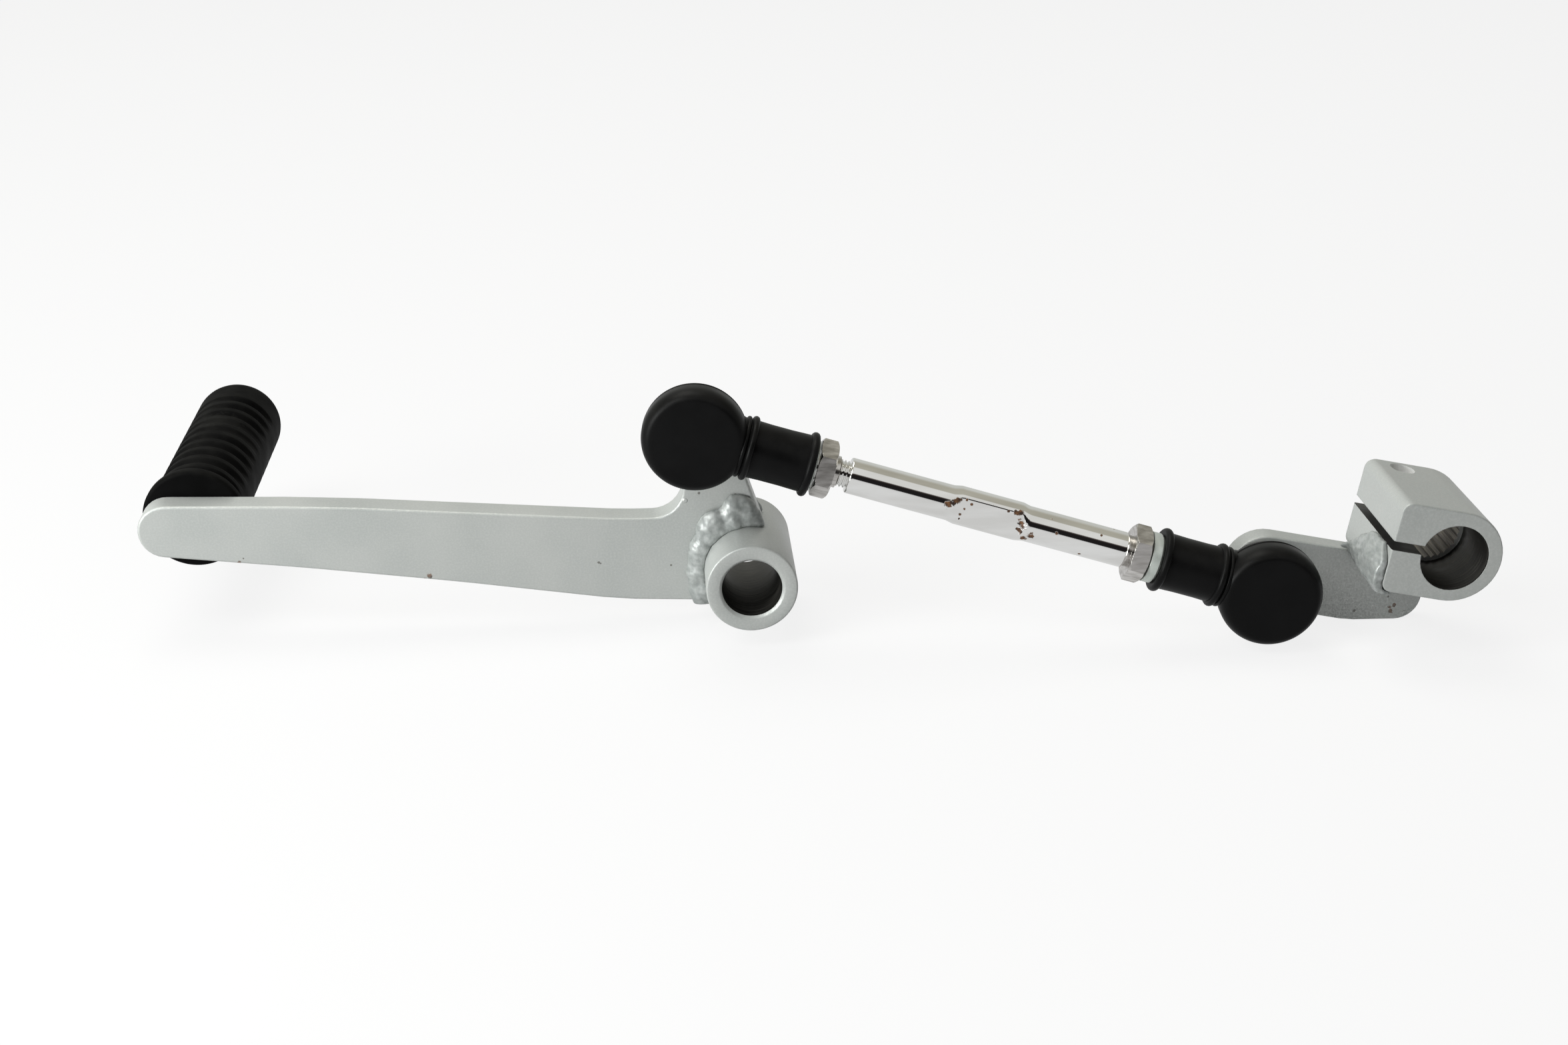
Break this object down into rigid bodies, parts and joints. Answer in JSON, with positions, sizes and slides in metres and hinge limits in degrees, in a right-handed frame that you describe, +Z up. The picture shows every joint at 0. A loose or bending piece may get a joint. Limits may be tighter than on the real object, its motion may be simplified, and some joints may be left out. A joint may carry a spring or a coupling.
{
  "type": "motorcycle gear shift lever",
  "caption": "Motorcycle shift lever on a pivot tube with a toe peg, joined by an adjustable rod with booted ball joints to a splined clamp arm.",
  "frame": {"origin": "on the axis of the pivot tube, in the plane of the lever plate's front face", "axes": "+X along the lever from the toe peg to the clamp arm, +Y along the pivot tube's axis to the back (the peg's side), +Z up"},
  "size_m": [0.2622, 0.0944, 0.0543],
  "materials": {
    "silver_paint": "satin silver paint",
    "weld_metal": "rough, painted over",
    "black_rubber": "matte, ribbed",
    "boot_rubber": "matte",
    "zinc_steel": "zinc plated",
    "chrome": "polished with rust spots",
    "pale_steel": "pale zinc",
    "white_nylon": "plain"
  },
  "bodies": {
    "lever": {"lever_plate": "silver_paint", "pivot_tube": "silver_paint", "tube_weld_front": "weld_metal", "tube_weld_rear": "weld_metal", "peg_pin": "zinc_steel", "peg_rubber": "black_rubber", "ball_stud_left": "zinc_steel"},
    "left_ring": {"seal_ring_left": "white_nylon"},
    "link": {"socket_left": "pale_steel", "ball_seat_left": "white_nylon", "boot_left": "boot_rubber", "lock_nut_left": "zinc_steel", "tie_rod": "chrome", "lock_nut_right": "zinc_steel", "socket_right": "pale_steel", "ball_seat_right": "white_nylon", "boot_right": "boot_rubber"},
    "right_ring": {"seal_ring_right": "white_nylon"},
    "arm": {"ball_stud_right": "zinc_steel", "arm_plate": "silver_paint", "clamp_body": "silver_paint", "clamp_weld": "weld_metal"}
  },
  "joints": [
    {"name": "left_swivel", "type": "hinge", "parent": "lever", "child": "left_ring", "pos_m": [-0.0106, -0.0085, 0.0314], "axis": [0, -1, 0], "range_deg": [-24, 150]},
    {"name": "left_tilt", "type": "hinge", "parent": "left_ring", "child": "link", "pos_m": [-0.0106, -0.0085, 0.0314], "axis": [0.279, 0, 0.9603], "range_deg": [-6, 14]},
    {"name": "right_tilt", "type": "hinge", "parent": "link", "child": "right_ring", "pos_m": [0.101, -0.01663, -0.00102], "axis": [0.279, 0, 0.9603], "range_deg": [-14, 6]},
    {"name": "right_swivel", "type": "hinge", "parent": "right_ring", "child": "arm", "pos_m": [0.101, -0.01663, -0.00102], "axis": [0, -1, 0], "range_deg": [-140, 95]}
  ]
}
